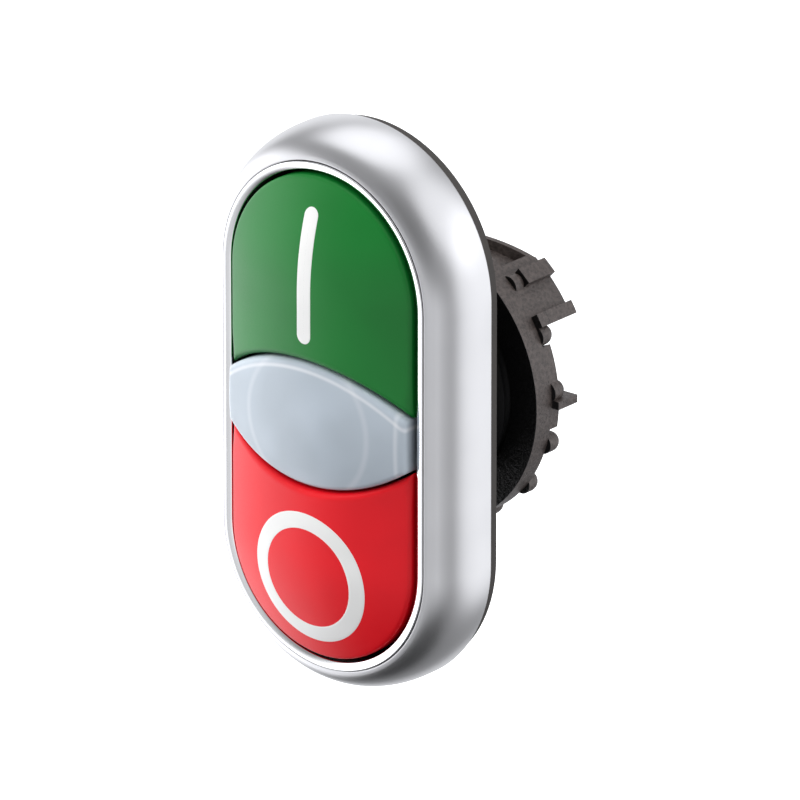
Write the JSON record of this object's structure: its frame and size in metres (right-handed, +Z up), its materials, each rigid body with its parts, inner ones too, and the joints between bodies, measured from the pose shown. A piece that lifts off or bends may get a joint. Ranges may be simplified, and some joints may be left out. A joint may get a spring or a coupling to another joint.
{
  "type": "double pushbutton actuator",
  "caption": "Illuminated start and stop pushbutton head with an oblong silver bezel, a domed lens between the buttons and a ring nut for a round panel hole.",
  "frame": {"origin": "on the shank's axis, in the plane of the panel's front face (the back of the gasket)", "axes": "+Z up along the bezel's long axis, start button above; buttons face -Y; +Y runs back along the shank through the panel; +X to the right seen from the front"},
  "size_m": [0.03, 0.024, 0.0556],
  "materials": {
    "bezel": "satin titanium-coloured die casting",
    "trim": "bright polished",
    "black_plastic": "glass-filled, moulded",
    "gasket_rubber": "matte",
    "silicone": "satin",
    "nut_plastic": "spark-eroded texture",
    "lens": "milky translucent moulding",
    "white_plastic": "moulded",
    "clear_plastic": "polished ends",
    "green_plastic": "satin moulded",
    "red_plastic": "satin moulded",
    "mark_plastic": "satin moulded",
    "spring_steel": "drawn wire"
  },
  "bodies": {
    "housing": {"bezel_ring": "bezel", "trim_ring": "trim", "base_body": "black_plastic", "panel_gasket": "gasket_rubber", "seal_mat": "silicone", "threaded_shank": "black_plastic", "guide_plate": "black_plastic", "lens": "lens", "lens_seal": "silicone", "lens_holder": "white_plastic", "light_guide": "clear_plastic", "start_spring": "spring_steel", "stop_spring": "spring_steel"},
    "start_button": {"start_cap": "green_plastic", "start_mark": "mark_plastic", "start_plunger": "white_plastic"},
    "stop_button": {"stop_cap": "red_plastic", "stop_mark": "mark_plastic", "stop_plunger": "white_plastic"},
    "ring_nut": {"locknut": "nut_plastic"}
  },
  "joints": [
    {"name": "start_press", "type": "slide", "parent": "housing", "child": "start_button", "axis": [0, 1, 0], "range_m": [0, 0.004], "stiffness_N_per_m": 500, "springref_m": -0.004, "deforming": ["start_spring"]},
    {"name": "stop_press", "type": "slide", "parent": "housing", "child": "stop_button", "axis": [0, 1, 0], "range_m": [0, 0.004], "stiffness_N_per_m": 500, "springref_m": -0.004, "deforming": ["stop_spring"]},
    {"name": "nut_travel", "type": "slide", "parent": "housing", "child": "ring_nut", "axis": [0, 1, 0], "range_m": [-0.0049, 0.02]}
  ]
}
